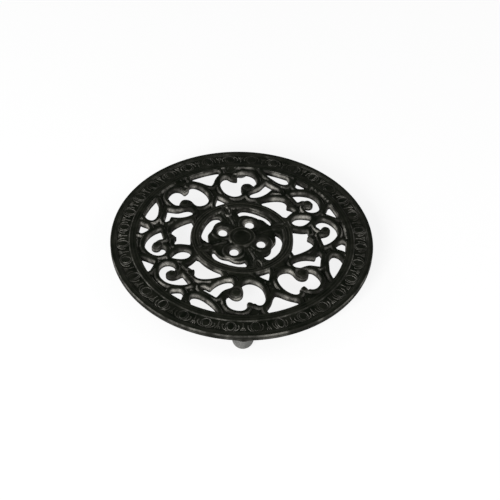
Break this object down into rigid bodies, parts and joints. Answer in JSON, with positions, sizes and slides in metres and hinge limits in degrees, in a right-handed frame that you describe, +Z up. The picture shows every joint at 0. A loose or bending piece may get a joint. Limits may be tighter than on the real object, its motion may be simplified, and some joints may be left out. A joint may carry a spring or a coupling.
{
  "type": "trivet",
  "caption": "Round openwork iron trivet with an egg-and-dart border and scrollwork, standing on push-on rubber feet, for resting hot dishes on.",
  "frame": {"origin": "on the table plane, under the middle of the plate", "axes": "+Z up through the middle of the plate; X and Y lie in the pattern's two mirror planes, Y through the two arches between the paired circles"},
  "size_m": [0.2, 0.2, 0.019],
  "materials": {
    "iron": "black, satin, slightly grained casting",
    "rubber": "matte dark grey"
  },
  "bodies": {
    "casting": {"border": "iron", "medallion": "iron", "scrollwork_back_right": "iron", "scrollwork_back_left": "iron", "scrollwork_front_left": "iron", "scrollwork_front_right": "iron"},
    "foot_back": {"rubber_foot_back": "rubber"},
    "foot_left": {"rubber_foot_left": "rubber"},
    "foot_front": {"rubber_foot_front": "rubber"},
    "foot_right": {"rubber_foot_right": "rubber"}
  },
  "joints": [
    {"name": "foot_back_pull", "type": "slide", "parent": "casting", "child": "foot_back", "axis": [0, 0, -1], "range_m": [0, 0.01]},
    {"name": "foot_left_pull", "type": "slide", "parent": "casting", "child": "foot_left", "axis": [0, 0, -1], "range_m": [0, 0.01]},
    {"name": "foot_front_pull", "type": "slide", "parent": "casting", "child": "foot_front", "axis": [0, 0, -1], "range_m": [0, 0.01]},
    {"name": "foot_right_pull", "type": "slide", "parent": "casting", "child": "foot_right", "axis": [0, 0, -1], "range_m": [0, 0.01]}
  ]
}
